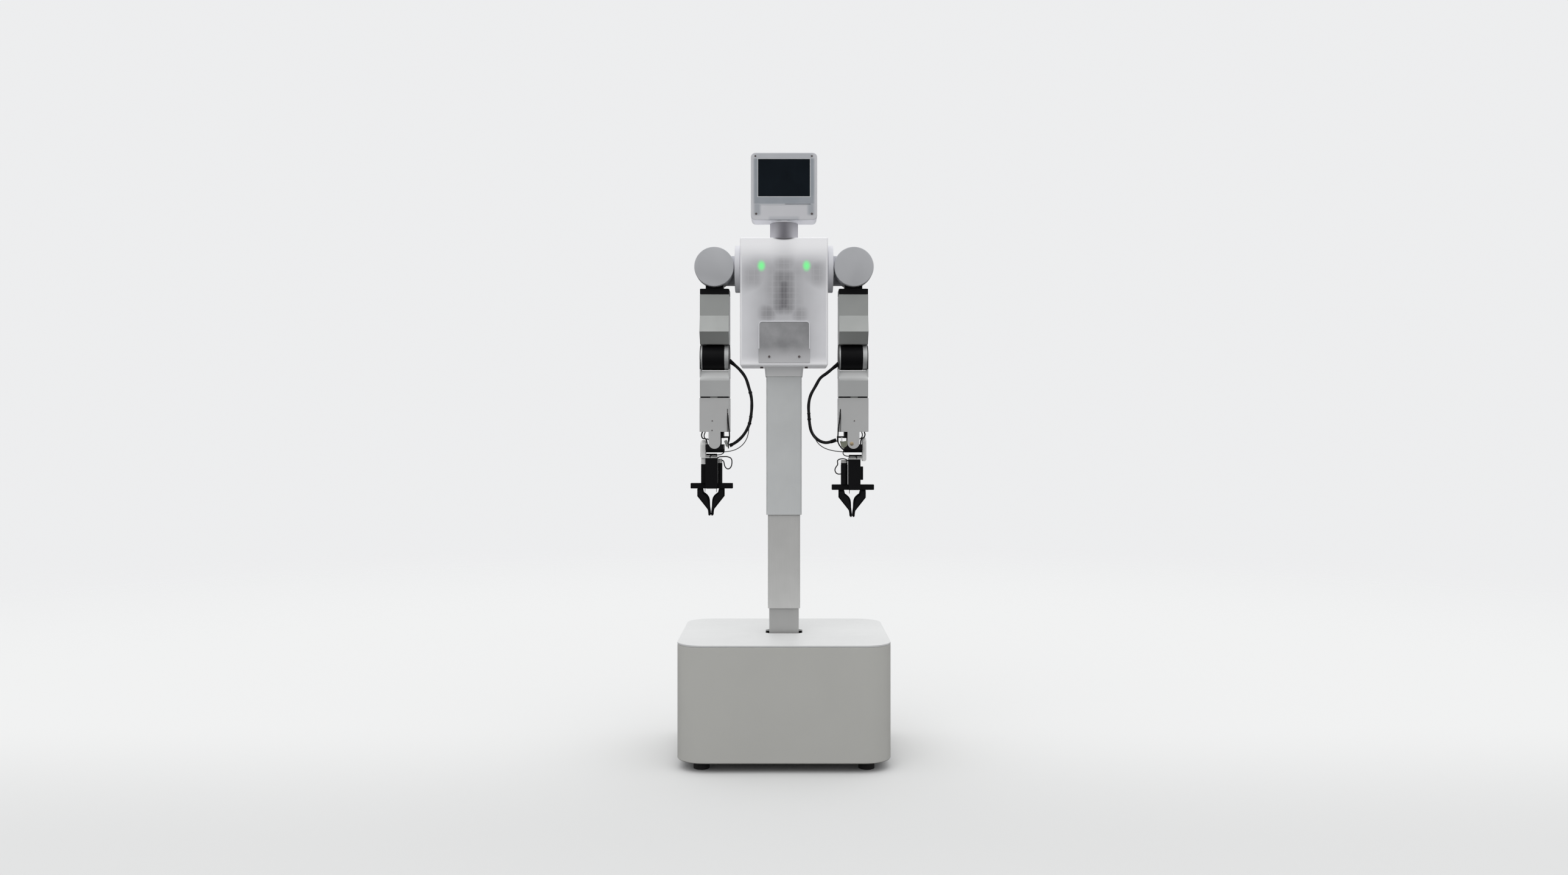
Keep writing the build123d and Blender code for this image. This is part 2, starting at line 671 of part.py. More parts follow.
def save_arm(side):
    drop = Pos(0, 0, -HAND_DROP[side])
    mirrored = {
        "shoulder_flange": shoulder_flange(),
        "roll_motor": roll_motor(),
        "roll_drum": roll_drum(),
        "arm_hanger": arm_hanger(),
        "upper_arm_shell": upper_arm_shell(),
        "wrist_housing": wrist_housing(),
        "wrist_servo": wrist_servo(side),
        "wrist_knuckle": wrist_knuckle(),
        "hand_bracket": hand_bracket(side),
        "gripper_body": drop * gripper_body(side),
        "gripper_motor": drop * gripper_motor(side),
        "finger_outer": drop * finger(side, False),
        "finger_inner": drop * finger(side, True),
    }
    for name, shape in mirrored.items():
        save(f"{side}_{name}", on_side(shape, side))
    # The elbow motor faces the same way on both arms
    same_way = Pos(ARM_X if side == "left" else -ARM_X, 0, 0)
    save(f"{side}_elbow_motor", same_way * elbow_motor())
    save(f"{side}_forearm_bracket", same_way * forearm_bracket())
    back_to_middle = Pos(-ARM_X, 0, 0)
    harness = cable(f"{side}_harness", HARNESS_ROUTES[side], HARNESS_DIAMETER)
    save(f"{side}_harness", on_side(back_to_middle * harness, side))
    wire = cable(f"{side}_signal_wire", WIRE_ROUTES[side], WIRE_DIAMETER)
    save(f"{side}_signal_wire", on_side(back_to_middle * wire, side))


save("base_shell", base_shell())
save("base_plate", base_plate())
save("base_feet", *base_feet())
save("base_lid", base_lid())
save("power_pack", power_pack())
save("lift_drive", lift_drive())
save("column_inner", column_inner())
save("lift_screw", lift_screw())
save("column_middle", tube(MIDDLE_TUBE, MIDDLE_Z))
save("glide_pads", *glide_pads())
save("spindle_tube", spindle_tube())
save("column_outer", tube(OUTER_TUBE, OUTER_Z))
save("lift_rod", lift_rod())
save("column_collar", column_collar())
save("torso_frame", torso_frame())
torso_casing = torso_case()
save("torso_front_shell", torso_front_shell(torso_casing))
save("torso_back_shell", torso_back_shell(torso_casing))
save("chest_hatch", chest_hatch())
save("status_leds", *status_leds())
save("torso_screws", *torso_screws())
save("control_boards", *control_boards())
save("pitch_motors", *pitch_motors())
save("neck_post", neck_post())
save("head_shell", head_shell())
save("head_bezel", head_bezel())
save("display_panel", display_panel())
for arm_side in ("right", "left"):
    save_arm(arm_side)
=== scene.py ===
import json
import math

import bmesh
import bpy
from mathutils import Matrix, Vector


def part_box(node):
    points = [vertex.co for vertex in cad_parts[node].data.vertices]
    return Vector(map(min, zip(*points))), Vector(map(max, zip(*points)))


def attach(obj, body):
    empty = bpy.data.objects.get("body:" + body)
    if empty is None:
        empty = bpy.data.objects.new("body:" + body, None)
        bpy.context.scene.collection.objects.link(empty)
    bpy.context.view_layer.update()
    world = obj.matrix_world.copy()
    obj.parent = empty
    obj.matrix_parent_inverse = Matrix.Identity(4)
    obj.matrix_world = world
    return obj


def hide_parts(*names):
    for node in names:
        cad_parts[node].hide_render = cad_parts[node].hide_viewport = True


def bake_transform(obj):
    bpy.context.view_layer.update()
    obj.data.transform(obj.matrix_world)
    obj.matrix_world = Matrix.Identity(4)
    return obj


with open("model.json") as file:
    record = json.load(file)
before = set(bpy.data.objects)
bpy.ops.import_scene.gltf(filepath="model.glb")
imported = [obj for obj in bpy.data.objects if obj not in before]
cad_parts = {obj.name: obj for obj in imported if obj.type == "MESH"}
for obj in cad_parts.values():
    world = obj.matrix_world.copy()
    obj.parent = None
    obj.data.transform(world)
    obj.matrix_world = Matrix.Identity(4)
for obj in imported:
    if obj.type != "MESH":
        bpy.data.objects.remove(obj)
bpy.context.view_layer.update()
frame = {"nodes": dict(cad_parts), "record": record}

# Millimetres and degrees, unless a name says otherwise. The robot's left side is towards +X.
MM = 0.001
SIDES = {"left": 1, "right": -1}

CAMERA_DISTANCE = 2860
CAMERA_HEIGHT = 714
FOCAL_LENGTH = 28.77

# Brightness of the surroundings at the horizon and overhead, and of the soft lamp
HORIZON_LIGHT = 0.92
ZENITH_LIGHT = 1.30
SUN_LIGHT = 0.25

# How much light the black parts mirror
BLACK_SHEEN = 0.05

# Spacing and one row of the ribs inside the torso
LATTICE_PITCH = 13.3
LATTICE_Z = 1050.4

# The two status lamps, and their glow on the torso's front
LAMP_X = 50
LAMP_Z = 1101.5
GLOW_X = 50.5
GLOW_Z = 1098

# Distance of each arm's centre plane from the robot's
ARM_X = 157

# The two hands differ: how far outwards the gearbox and the fingers sit from the arm's centre
# plane, and how much lower than the two heights below the hand hangs. The yoke's top is as given
GEARBOX_SHIFT = {"right": 7.7, "left": 3}
FINGER_SHIFT = {"right": 9.7, "left": -1.6}
HAND_DROP = {"right": 0.8, "left": 4}
GEARBOX_BOTTOM = 600
FOOT_TOP = 671.5
YOKE_TOP = {"right": 677.1, "left": 674.5}

# Cables: a route's points are x outwards from the robot's centre plane, y and z. A bend is the
# pair of heights, or of places in x and z, between which a cable passes from one body to the next
HARNESS_DIAMETER = 7 * MM
HARNESS_ROUTES = {
    "right": [
        (124.5, 0, 889),
        (113.5, -2, 880.5),
        (99, -6, 867),
        (86.5, -10, 850),
        (80, -13, 828.5),
        (73.5, -15, 805.5),
        (72.8, -15, 783),
        (75.2, -14.5, 760),
        (79.5, -13.5, 740),
        (91, -11, 720),
        (104.5, -8.5, 706.5),
        (116, -6.5, 699),
        (123.6, -5.7, 695.4),
    ],
    "left": [
        (124.5, 0, 882),
        (113, -2, 873.5),
        (98, -6, 860.5),
        (82, -10, 850),
        (72.5, -13, 832),
        (59.5, -15, 810),
        (55.3, -16, 788),
        (56.4, -16, 765),
        (58.2, -15, 743),
        (62, -14, 726.5),
        (71.5, -12.5, 712.5),
        (85, -10.5, 703.5),
        (101.5, -8, 701.5),
        (118.7, -5.7, 708.5),
    ],
}
HARNESS_TIES = {"right": (816, 761, 746), "left": (769, 756)}
WIRE_DIAMETER = 2 * MM
WIRE_ROUTES = {
    "right": [
        (79.5, -18.6, 742),
        (79.8, -19, 728),
        (83.5, -18, 712.5),
        (92, -15.5, 698.5),
        (105, -12.5, 688.5),
        (120, -10, 682.8),
        (136.1, -9, 681.2),
    ],
    "left": [
        (60.5, -19.8, 741),
        (63.5, -20.5, 729),
        (69, -20, 715),
        (76, -18, 701.5),
        (88, -15, 691.5),
        (103, -12.5, 685.6),
        (119, -10.5, 682.6),
        (136.1, -9, 681.2),
    ],
}

# Short leads round the wrist and hand
SLOT_LEAD_ROUTES = {
    "right": [
        (127.2, -24, 769),
        (127, -31, 765),
        (126, -32.6, 752),
        (124.8, -32.6, 738),
        (123.2, -32, 726),
        (123, -29, 714),
        (124.6, -23, 705),
        (128.2, -16, 699.5),
        (128.4, -9, 699),
    ],
    "left": [
        (127.6, -24, 777),
        (127.2, -31, 773),
        (126, -32.6, 757),
        (123, -32.6, 738),
        (121.6, -32.4, 718),
        (121.6, -32.2, 704),
        (124.5, -31.8, 697),
        (130, -30.6, 690),
        (135.5, -27, 685.5),
        (139, -24, 684),
    ],
}
LOOP_LEAD_ROUTES = {
    "right": [
        (153, -10, 665),
        (150, -11.5, 669.8),
        (141, -12.3, 670.4),
        (128, -12.5, 670.8),
        (118.8, -13.5, 666.5),
        (117.8, -15, 655),
        (121, -14, 645),
        (128, -13, 641.5),
        (134.4, -12, 647),
        (136.2, -8, 656),
        (138.4, -5, 662),
        (143.5, -3, 662.5),
    ],
    "left": [
        (146, -10, 661),
        (140, -12, 665.5),
        (129, -13, 666),
        (120.6, -13, 662),
        (122.6, -12, 653),
        (120, -12, 649.5),
        (115.6, -12, 643),
        (116.4, -11, 635.5),
        (121, -9, 631),
        (127, -6, 630.5),
        (131, -3, 631),
    ],
}
OUTER_LEAD_ROUTES = {
    "right": [
        (183, -18, 738),
        (184, -22, 728),
        (187.5, -24, 719),
        (184, -25, 711),
        (177.5, -24, 712),
        (174.5, -22, 706),
        (174, -19, 697),
    ],
    "left": [
        (181, -18, 738),
        (181.5, -22, 728),
        (184, -24, 720),
        (180.5, -25, 713),
        (175.5, -24, 712),
        (173.5, -22, 705),
        (173.5, -19, 697),
    ],
}
HAND_LEAD_ROUTES = {
    "right": [
        (136.5, -20, 688),
        (134.5, -22, 683),
        (139, -22.5, 676.5),
        (149, -20, 674),
        (161, -17, 675),
        (168, -13, 673),
        (168, -11, 668),
        (166, -10, 664),
    ],
    "left": [
        (137, -20, 688),
        (133.5, -22, 682),
        (134, -22, 674.5),
        (144, -19, 671),
        (156, -16, 672.5),
        (164, -13, 671.5),
        (166.5, -11, 666),
        (164, -10, 660),
    ],
}
LEFT_SLOT_BEND = (702, 686)
HAND_BEND = (683, 670)
OUTER_BEND = (718, 702)

# Width of the rounding on each CAD node's edges
EDGE_WIDTHS = {
    "base_shell": 1.0,
    "base_lid": 0.8,
    "column_inner": 0.4,
    "column_middle": 0.4,
    "column_outer": 0.4,
    "column_collar": 0.6,
    "torso_front_shell": 2.0,
    "torso_back_shell": 0.5,
    "chest_hatch": 0.5,
    "status_leds": 0.3,
    "head_shell": 0.8,
    "head_bezel": 0.3,
    "display_panel": 0.2,
}
ARM_EDGE_WIDTHS = {
    "shoulder_flange": 0.5,
    "roll_motor": 0.5,
    "roll_drum": 0.4,
    "arm_hanger": 0.5,
    "upper_arm_shell": 0.7,
    "elbow_motor": 0.4,
    "forearm_bracket": 0.7,
    "wrist_housing": 0.6,
    "wrist_servo": 0.5,
    "wrist_knuckle": 0.6,
    "hand_bracket": 0.5,
    "gripper_body": 0.6,
    "gripper_motor": 0.4,
    "finger_outer": 0.8,
    "finger_inner": 0.8,
}


# Camera, floor and light


def make_camera():
    """A level camera in front of the robot, a little over half its height."""
    lens = bpy.data.cameras.new("camera")
    lens.sensor_width = 36
    lens.lens = FOCAL_LENGTH
    camera = bpy.data.objects.new("camera", lens)
    camera.location = (0, -CAMERA_DISTANCE * MM, CAMERA_HEIGHT * MM)
    camera.rotation_euler = (math.radians(90), 0, 0)
    bpy.context.scene.collection.objects.link(camera)
    bpy.context.scene.camera = camera


def make_floor():
    """A pale round floor that fades into the background."""
    shape = bmesh.new()
    bmesh.ops.create_circle(shape, cap_ends=True, segments=96, radius=6)
    mesh = bpy.data.meshes.new("floor")
    shape.to_mesh(mesh)
    shape.free()
    floor = bpy.data.objects.new("floor", mesh)
    bpy.context.scene.collection.objects.link(floor)
    mesh.materials.append(floor_material())


def floor_material():
    """Pale paint, darker towards the camera, clear at the rim, and dim to every ray but the camera's."""
    made = Nodes("studio_floor")
    axes = made.axes()
    back = made.ramp(axes["Y"], -0.7, 0.3, 0, 1, smooth=True)
    pale = made.add("ShaderNodeBsdfDiffuse")
    made.link(made.mix(back, (0.745, 0.75, 0.75), (0.85, 0.855, 0.855)), pale.inputs["Color"])
    dim = made.add("ShaderNodeBsdfDiffuse", Color=(0.10, 0.10, 0.10, 1))
    ray = made.add("ShaderNodeLightPath")
    paint = made.add("ShaderNodeMixShader")
    made.link(ray.outputs["Is Camera Ray"], paint.inputs[0])
    made.link(dim.outputs[0], paint.inputs[1])
    made.link(pale.outputs[0], paint.inputs[2])
    clear = made.add("ShaderNodeBsdfTransparent")
    distance = made.add("ShaderNodeVectorMath", operation="LENGTH")
    made.link(made.place, distance.inputs[0])
    fade = made.ramp(distance.outputs["Value"], 2.2, 5.6, 0, 1, smooth=True)
    mix = made.add("ShaderNodeMixShader")
    made.link(fade, mix.inputs[0])
    made.link(paint.outputs[0], mix.inputs[1])
    made.link(clear.outputs[0], mix.inputs[2])
    made.link(mix.outputs[0], made.output.inputs["Surface"])
    return made.material


def make_light():
    """White studio surroundings, brightest overhead, and one large soft lamp above."""
    world = bpy.data.worlds.new("studio")
    bpy.context.scene.world = world
    world.use_nodes = True
    tree = world.node_tree
    tree.nodes.clear()
    output = tree.nodes.new("ShaderNodeOutputWorld")
    direction = tree.nodes.new("ShaderNodeTexCoord").outputs["Generated"]
    split = tree.nodes.new("ShaderNodeSeparateXYZ")
    tree.links.new(direction, split.inputs[0])
    strength = tree.nodes.new("ShaderNodeMath")
    strength.operation = "MULTIPLY"
    rising = (0.0, 0.8, HORIZON_LIGHT, ZENITH_LIGHT)
    dark_below = (-0.12, 0.02, 0.08, 1.0)
    for socket, limits in zip(strength.inputs, (rising, dark_below)):
        band = tree.nodes.new("ShaderNodeMapRange")
        for name, value in zip(("From Min", "From Max", "To Min", "To Max"), limits):
            band.inputs[name].default_value = value
        tree.links.new(split.outputs["Z"], band.inputs[0])
        tree.links.new(band.outputs[0], socket)
    lit = tree.nodes.new("ShaderNodeBackground")
    tree.links.new(strength.outputs[0], lit.inputs["Strength"])
    seen = tree.nodes.new("ShaderNodeBackground")
    seen.inputs["Color"].default_value = (0.848, 0.852, 0.86, 1)
    ray = tree.nodes.new("ShaderNodeLightPath")
    mix = tree.nodes.new("ShaderNodeMixShader")
    tree.links.new(ray.outputs["Is Camera Ray"], mix.inputs[0])
    tree.links.new(lit.outputs[0], mix.inputs[1])
    tree.links.new(seen.outputs[0], mix.inputs[2])
    tree.links.new(mix.outputs[0], output.inputs[0])

    lamp = bpy.data.lights.new("overhead", "SUN")
    lamp.energy = SUN_LIGHT
    lamp.angle = math.radians(40)
    overhead = bpy.data.objects.new("overhead", lamp)
    overhead.rotation_euler = (math.radians(35), math.radians(-14), 0)
    bpy.context.scene.collection.objects.link(overhead)
    bpy.context.scene.view_settings.view_transform = "Standard"


# Materials


class Nodes:
    """A node material under construction."""

    def __init__(self, name):
        self.material = bpy.data.materials.new(name)
        self.material.use_nodes = True
        self.tree = self.material.node_tree
        self.tree.nodes.clear()
        self.output = self.tree.nodes.new("ShaderNodeOutputMaterial")
        self.place = self.tree.nodes.new("ShaderNodeTexCoord").outputs["Object"]

    def add(self, kind, operation=None, **values):
        """A node with its operation and the values of its inputs."""
        node = self.tree.nodes.new(kind)
        if operation:
            node.operation = operation
        for name, value in values.items():
            node.inputs[name.replace("_", " ")].default_value = value
        return node

    def link(self, source, target):
        self.tree.links.new(source, target)

    def axes(self):
        """The x, y and z of the surface, in the robot's frame at rest, in metres."""
        split = self.tree.nodes.new("ShaderNodeSeparateXYZ")
        self.link(self.place, split.inputs[0])
        return split.outputs

    def ramp(self, value, low, high, to_low, to_high, smooth=False):
        """Maps a value between two limits, straight or with soft ends."""
        node = self.tree.nodes.new("ShaderNodeMapRange")
        if smooth:
            node.interpolation_type = "SMOOTHSTEP"
        self.link(value, node.inputs["Value"])
        names = ("From Min", "From Max", "To Min", "To Max")
        for name, number in zip(names, (low, high, to_low, to_high)):
            node.inputs[name].default_value = number
        return node.outputs["Result"]

    def math(self, operation, first, second=0):
        """One sum on two values, each a number or a socket."""
        node = self.tree.nodes.new("ShaderNodeMath")
        node.operation = operation
        for socket, value in zip(node.inputs, (first, second)):
            if isinstance(value, (int, float)):
                socket.default_value = value
            else:
                self.link(value, socket)
        return node.outputs[0]

    def noise(self, scale, detail=3, stretch=(1, 1, 1)):
        """Noise of so many features to the metre, drawn out along an axis by stretch."""
        sized = self.tree.nodes.new("ShaderNodeMapping")
        sized.inputs["Scale"].default_value = stretch
        self.link(self.place, sized.inputs["Vector"])
        node = self.add("ShaderNodeTexNoise", Scale=scale, Detail=detail)
        self.link(sized.outputs[0], node.inputs["Vector"])
        return node.outputs["Fac"]

    def mix(self, amount, first, second):
        """Mixes two colours, each a tuple or a socket."""
        node = self.tree.nodes.new("ShaderNodeMix")
        node.data_type = "RGBA"
        self.link(amount, node.inputs[0])
        for socket, value in ((node.inputs[6], first), (node.inputs[7], second)):
            if isinstance(value, tuple):
                socket.default_value = (*value, 1)
            else:
                self.link(value, socket)
        return node.outputs[2]

    def bump(self, height, distance):
        node = self.add("ShaderNodeBump", Strength=1.0, Distance=distance)
        self.link(height, node.inputs["Height"])
        return node.outputs["Normal"]

    def principled(self, colour, rough, normal=None, **values):
        """The finished surface."""
        shader = self.add("ShaderNodeBsdfPrincipled", **values)
        for socket, source in (("Base Color", colour), ("Roughness", rough), ("Normal", normal)):
            if source is not None:
                self.link(source, shader.inputs[socket])
        self.link(shader.outputs[0], self.output.inputs["Surface"])
        return shader


def shade(colour, factor):
    return tuple(min(1.0, channel * factor) for channel in colour)


def grained(
    name, colour, rough, metallic=0.0, vary=0.05, grain=900, depth=0.03, stretch=(1, 1, 1), **values
):
    """A painted, moulded or blasted surface: slow colour drift, fine grain, and uneven gloss."""
    made = Nodes(name)
    drift = made.ramp(made.noise(9, 4), 0.35, 0.65, 0, 1)
    speck = made.noise(grain, 2, stretch)
    tint = made.mix(drift, shade(colour, 1 - vary), shade(colour, 1 + vary))
    fine = made.ramp(speck, 0.3, 0.7, 0, 1)
    tint = made.mix(made.math("MULTIPLY", fine, 0.35), tint, shade(colour, 1 - 1.6 * vary))
    gloss = made.ramp(made.noise(35, 5), 0.3, 0.7, rough - 0.06, rough + 0.08)
    normal = made.bump(speck, depth * MM)
    made.principled(tint, gloss, normal, Metallic=metallic, **values)
    return made.material


def brushed(name, colour, rough, metallic=0.6):
    """Metal with fine upright drawn lines."""
    return grained(name, colour, rough, metallic, 0.05, 1400, 0.012, stretch=(1, 1, 0.02))


def offset_from(made, axis, centre):
    """Distance of a coordinate from a centre, in metres."""
    return made.math("ABSOLUTE", made.math("SUBTRACT", axis, centre * MM))


def soft_boxes(made, x, z, boxes):
    """A mask of soft-edged rectangles seen from the front: x, z, half sizes, blur, strength."""
    mask = None
    for centre_x, centre_z, half_x, half_z, blur, strength in boxes:
        across = offset_from(made, x, centre_x)
        across = made.ramp(across, (half_x - blur) * MM, (half_x + blur) * MM, strength, 0, True)
        upright = offset_from(made, z, centre_z)
        upright = made.ramp(upright, (half_z - blur) * MM, (half_z + blur) * MM, 1, 0, True)
        box = made.math("MULTIPLY", across, upright)
        mask = box if mask is None else made.math("MAXIMUM", mask, box)
    return mask


def soft_oval(made, x, z, centre_x, centre_z, half_x, half_z, low, high):
    """A mask of one oval that fades between two shares of its size."""
    across = made.math("POWER", made.math("DIVIDE", offset_from(made, x, centre_x), half_x * MM), 2)
    upright = made.math("POWER", made.math("DIVIDE", offset_from(made, z, centre_z), half_z * MM), 2)
    radius = made.math("SQRT", made.math("ADD", across, upright))
    return made.ramp(radius, low, high, 1, 0, True)


def grid_lines(made, x, z):
    """The lattice of moulded ribs inside the torso, as a mask of thin lines."""
    lines = None
    for axis, start in ((x, 0), (z, LATTICE_Z)):
        shifted = made.math("DIVIDE", made.math("SUBTRACT", axis, start * MM), LATTICE_PITCH * MM)
        cell = made.math("FRACT", made.math("ADD", shifted, 0.5))
        off = made.math("ABSOLUTE", made.math("SUBTRACT", cell, 0.5))
        line = made.ramp(off, 0.01, 0.07, 1, 0, True)
        lines = line if lines is None else made.math("MAXIMUM", lines, line)
    return lines


def shapes_and_shade(made, dark_boxes, lattice, mottle, neck):
    """How dark the front wall is painted: what lies inside shows through, with some painted shade, as a
    mask that fades round the sides.
    """
    x, y, z = made.axes()
    cloud = made.ramp(made.noise(22, 4), 0.3, 0.7, 1 - mottle, 1 + mottle)
    shadow = made.math("MULTIPLY", soft_boxes(made, x, z, dark_boxes), cloud)
    if lattice:
        showing = made.ramp(shadow, 0.26, 0.5, 0, lattice, True)
        lost = made.math("MULTIPLY", grid_lines(made, x, z), showing)
        shadow = made.math("MULTIPLY", shadow, made.math("SUBTRACT", 1.0, lost))
    if neck:
        shadow = made.math("MAXIMUM", shadow, soft_oval(made, x, z, 0, 1163, 34, 10, 0.55, 1.0))
    return made.math("MULTIPLY", shadow, made.ramp(y, -32 * MM, -24 * MM, 1, 0.3))


def torso_painted_light(made, shadow):
    """Two masks of painted light on the torso's sides, top and foot: where they are painted pale, and
    where they also shine with a painted glow.
    """
    x, y, z = made.axes()
    outwards = made.math("ABSOLUTE", x)
    rim = made.ramp(outwards, 92.5 * MM, 96.5 * MM, 0, 1, True)
    high = made.ramp(z, 1098 * MM, 1150 * MM, 0, 1, True)
    low = made.ramp(z, 870 * MM, 900 * MM, 0.9, 0, True)
    pale = made.math("MAXIMUM", made.math("MULTIPLY", rim, 0.6), made.math("MAXIMUM", high, low))
    pale = made.math("MULTIPLY", pale, made.math("SUBTRACT", 1.0, shadow))
    shining = made.math("MULTIPLY", pale, made.ramp(outwards, 96 * MM, 98 * MM, 1, 0.1))
    return pale, shining


def lamp_glow(made):
    """A mask of the two status lamps, seen through the front wall."""
    x, y, z = made.axes()
    lit = None
    for centre in (-GLOW_X, GLOW_X):
        oval = soft_oval(made, x, z, centre, GLOW_Z, 10, 13.5, 0.2, 1.22)
        lit = oval if lit is None else made.math("MAXIMUM", lit, oval)
    return made.math("MULTIPLY", lit, made.ramp(y, -50 * MM, -45 * MM, 1, 0))


def frosted(name, colour, dark_boxes, dark=(0.16, 0.155, 0.17), lattice=0.0, mottle=0.12, band=None, glow=0.0):
    """Frosted translucent plastic: what lies inside it shows as soft dark shapes, some of them painted
    shade, and a faint glow, where given, is painted light.

    Only the torso has a lattice of ribs inside it, and with it bright edges of painted light, lamps and a
    neck.
    """
    made = Nodes(name)
    torso = lattice > 0
    shadow = shapes_and_shade(made, dark_boxes, lattice, mottle, torso)
    speck = made.noise(1500, 2)
    drift = made.ramp(made.noise(12, 3), 0.3, 0.7, 0, 1)
    tint = made.mix(drift, shade(colour, 0.96), shade(colour, 1.03))
    tint = made.mix(made.ramp(speck, 0.35, 0.65, 0, 0.12), tint, shade(colour, 0.8))
    tint = made.mix(shadow, tint, dark)
    # Painted light: a faint glow of the plastic, dimmed under the dark shapes
    light = made.mix(drift, shade(colour, 0.96 * glow), shade(colour, 1.03 * glow))
    light = made.mix(shadow, light, (0, 0, 0))
    if torso:
        # Painted light: paler sides, top and foot, and a painted glow on them
        pale, shining = torso_painted_light(made, shadow)
        tint = made.mix(pale, tint, (0.97, 0.97, 0.99))
        light = made.mix(shining, light, (0.20, 0.20, 0.205))
        lit = lamp_glow(made)
        tint = made.mix(lit, tint, (0.16, 0.55, 0.22))
        light = made.mix(lit, light, (0.13, 0.62, 0.20))
    if band:
        x, y, z = made.axes()
        tint = made.mix(soft_boxes(made, x, z, [band]), tint, (0.86, 0.87, 0.89))
    gloss = made.ramp(made.noise(40, 3), 0.3, 0.7, 0.42, 0.55)
    shader = made.principled(tint, gloss, made.bump(speck, 0.02 * MM), Specular_IOR_Level=0.3)
    if glow:
        made.link(light, shader.inputs["Emission Color"])
        shader.inputs["Emission Strength"].default_value = 1.0
    return made.material


def screen_glass():
    """Nearly black glass with a faint blue haze."""
    made = Nodes("screen_glass")
    haze = made.noise(14, 3)
    tint = made.mix(made.ramp(haze, 0.35, 0.65, 0, 1), (0.006, 0.009, 0.013), (0.009, 0.014, 0.02))
    gloss = made.ramp(made.noise(60, 4), 0.3, 0.7, 0.16, 0.22)
    normal = made.bump(made.noise(700, 2), 0.004 * MM)
    made.principled(tint, gloss, normal, Specular_IOR_Level=0.04)
    return made.material


def lamp_lens():
    """Green status lamp, brightest in the middle of each lens."""
    made = Nodes("led_lens")
    axes = made.axes()
    off_x = made.math("SUBTRACT", made.math("ABSOLUTE", axes["X"]), LAMP_X * MM)
    off_z = made.math("SUBTRACT", axes["Z"], LAMP_Z * MM)
    square = made.math("ADD", made.math("POWER", off_x, 2), made.math("POWER", off_z, 2))
    radius = made.math("SQRT", square)
    tint = made.mix(made.ramp(radius, 0, 6 * MM, 0, 1), (0.30, 0.92, 0.36), (0.12, 0.62, 0.17))
    shader = made.principled(tint, made.ramp(made.noise(300, 2), 0.3, 0.7, 0.3, 0.42))
    made.link(tint, shader.inputs["Emission Color"])
    shader.inputs["Emission Strength"].default_value = 0.75
    return made.material


def sleeve(name, colour, rough, pitch):
    """Braided or wrinkled cable sleeve."""
    made = Nodes(name)
    wave = made.add("ShaderNodeTexWave", Scale=1 / (pitch * MM) / 20, Distortion=2.5, Detail=2)
    wave.bands_direction = "Z"
    made.link(made.place, wave.inputs["Vector"])
    fine = made.noise(1200, 2)
    tint = made.mix(fine, shade(colour, 0.7), shade(colour, 1.5))
    normal = made.bump(wave.outputs["Fac"], 0.12 * MM)
    gloss = made.ramp(fine, 0.3, 0.7, rough - 0.06, rough + 0.08)
    made.principled(tint, gloss, normal, Specular_IOR_Level=0.2)
    return made.material


def circuit_board(name, colour):
    """Board with a pattern of tracks."""
    made = Nodes(name)
    tracks = made.add("ShaderNodeTexBrick", Scale=260.0)
    made.link(made.place, tracks.inputs["Vector"])
    tint = made.mix(tracks.outputs["Fac"], colour, shade(colour, 2.2))
    gloss = made.ramp(made.noise(300, 2), 0.3, 0.7, 0.4, 0.5)
    made.principled(tint, gloss, made.bump(tracks.outputs["Fac"], 0.05 * MM))
    return made.material


# What shows through the frosted plastics, and painted shade on them: centre x and z, half width, half
# height, blur, strength
TORSO_BEHIND_AND_SHADE = [
    (0, 1034, 15, 38, 14, 0.88),
    (0, 1040, 27, 52, 18, 0.72),
    (0, 1084, 26, 38, 22, 0.50),
    # The dark inside seen through, with painted shade: a broad soft darkness over the middle
    (0, 1045, 52, 62, 26, 0.42),
    (73, 1080, 20, 28, 18, 0.44),
    (-69, 1074, 25, 27, 20, 0.44),
    (-36, 992, 20, 22, 19, 0.62),
    (34, 990, 20, 22, 19, 0.54),
    # The dark inside seen through, with painted shade: broad soft darkness low and high on the torso
    (0, 985, 66, 105, 30, 0.30),
    (0, 1082, 84, 34, 26, 0.32),
    # Painted shadow under the neck
    (0, 1146, 22, 34, 20, 0.24),
]
HATCH_BEHIND = [
    (0, 946, 80, 43, 23, 0.92),
]
BEZEL_BEHIND_AND_SHADE = [
    (0, 1292, 68, 51.5, 3, 1.0),
    (0, 1348, 66, 8, 5, 0.42),
    (60.5, 1229, 7, 13, 4, 0.75),
    (-60.5, 1229, 7, 13, 4, 0.75),
    # The neck's top seen through the bezel's foot, with its painted shadow
    (0, 1206, 34, 6, 4, 0.45),
]
SCREEN_BAND = (0, 1300, 60, 43.7, 0.4, 0.8)
HEAD_BEHIND = [
    (0, 1290, 62, 52, 10, 0.30),
]
NECK_BEHIND = [
    (0, 1180, 15, 60, 15, 0.95),
]


def black(name, colour=0.010, rough=0.34, grain=1100, depth=0.03, sheen=BLACK_SHEEN):
    """Black moulded plastic or anodised metal, with little sheen."""
    tone = (colour, colour, colour * 1.1)
    return grained(name, tone, rough, 0.0, 0.12, grain, depth, Specular_IOR_Level=sheen)


